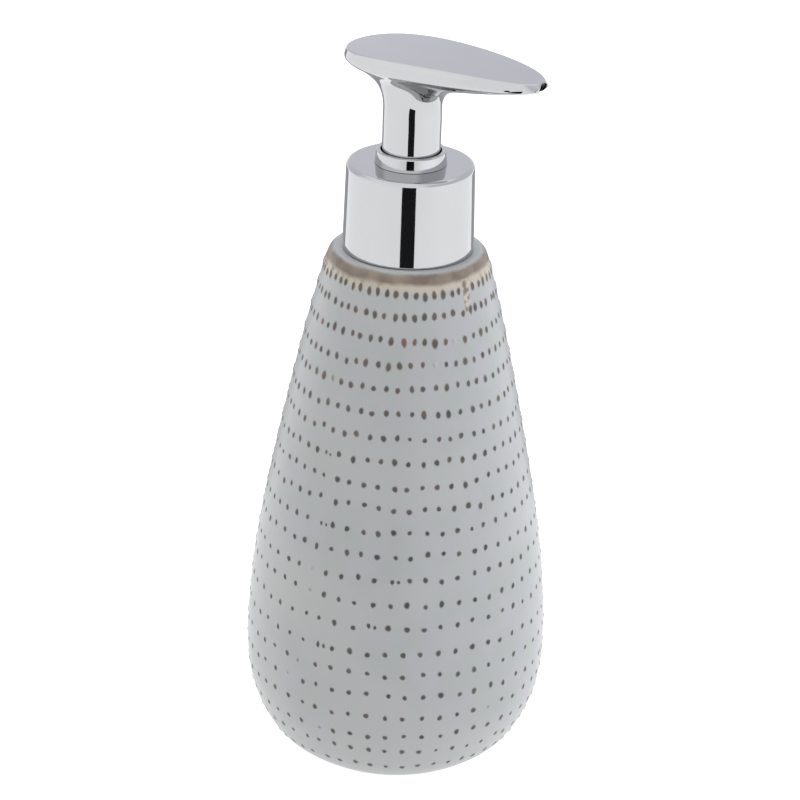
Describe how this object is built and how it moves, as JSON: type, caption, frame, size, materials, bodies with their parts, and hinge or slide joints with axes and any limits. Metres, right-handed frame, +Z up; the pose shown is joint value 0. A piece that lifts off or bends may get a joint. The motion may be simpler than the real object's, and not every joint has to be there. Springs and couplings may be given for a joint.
{
  "type": "soap pump dispenser",
  "caption": "Glazed ceramic bottle with raised dots, a screw-on chrome collar and a press-down swivelling pump head with a spout.",
  "frame": {"origin": "centre of the bottle's base, on the surface that it stands on", "axes": "+Z up along the bottle's axis, +X along the spout at rest"},
  "size_m": [0.075, 0.075, 0.1842],
  "materials": {
    "stoneware_glaze": "glossy pale blue-grey glaze that breaks brown on the raised dots and the rim",
    "chrome_plate": "mirror polished plating",
    "white_plastic": "moulded polypropylene, satin",
    "clear_tube": "extruded translucent polyethylene",
    "black_tube": "extruded black polyethylene",
    "seal_plastic": "soft moulded polyethylene",
    "gasket_foam": "closed-cell washer",
    "adhesive": "cured sealant",
    "spring_steel": "drawn stainless wire",
    "ball_steel": "ground stainless ball"
  },
  "bodies": {
    "bottle": {"bottle": "stoneware_glaze", "neck_insert": "white_plastic", "insert_seal": "adhesive"},
    "pump": {"pump_housing": "white_plastic", "flange_gasket": "gasket_foam", "guide_ring": "chrome_plate", "stem_seal": "seal_plastic", "ball_cage": "white_plastic", "dip_tube": "clear_tube", "return_spring": "spring_steel"},
    "cap": {"cap_shell": "chrome_plate", "cap_liner": "white_plastic"},
    "plunger": {"piston": "seal_plastic"},
    "head": {"head_shell": "chrome_plate", "stem_socket": "white_plastic", "nozzle_tube": "black_tube", "stem": "white_plastic", "stem_plug": "white_plastic"},
    "inlet_valve": {"inlet_ball": "ball_steel"},
    "outlet_valve": {"outlet_ball": "ball_steel"}
  },
  "joints": [
    {"name": "pump_lift", "type": "slide", "parent": "bottle", "child": "pump", "axis": [0, 0, 1], "range_m": [0, 0.00635]},
    {"name": "cap_turn", "type": "hinge", "parent": "pump", "child": "cap", "pos_m": [0, 0, 0.145], "axis": [0, 0, 1], "range_deg": [0, 540]},
    {"name": "head_press", "type": "slide", "parent": "pump", "child": "plunger", "axis": [0, 0, -1], "range_m": [0, 0.012], "stiffness_N_per_m": 900, "springref_m": -0.006, "deforming": ["return_spring"]},
    {"name": "head_swivel", "type": "hinge", "parent": "plunger", "child": "head", "pos_m": [0, 0, 0.16], "axis": [0, 0, 1], "continuous": true},
    {"name": "inlet_valve_lift", "type": "slide", "parent": "pump", "child": "inlet_valve", "axis": [0, 0, 1], "range_m": [0, 0.0015]},
    {"name": "outlet_valve_lift", "type": "slide", "parent": "head", "child": "outlet_valve", "axis": [0, 0, 1], "range_m": [0, 0.0012]}
  ],
  "couplings": [
    {"joint": "pump_lift", "follows": "cap_turn", "m_per_rad": 0.00067375}
  ]
}
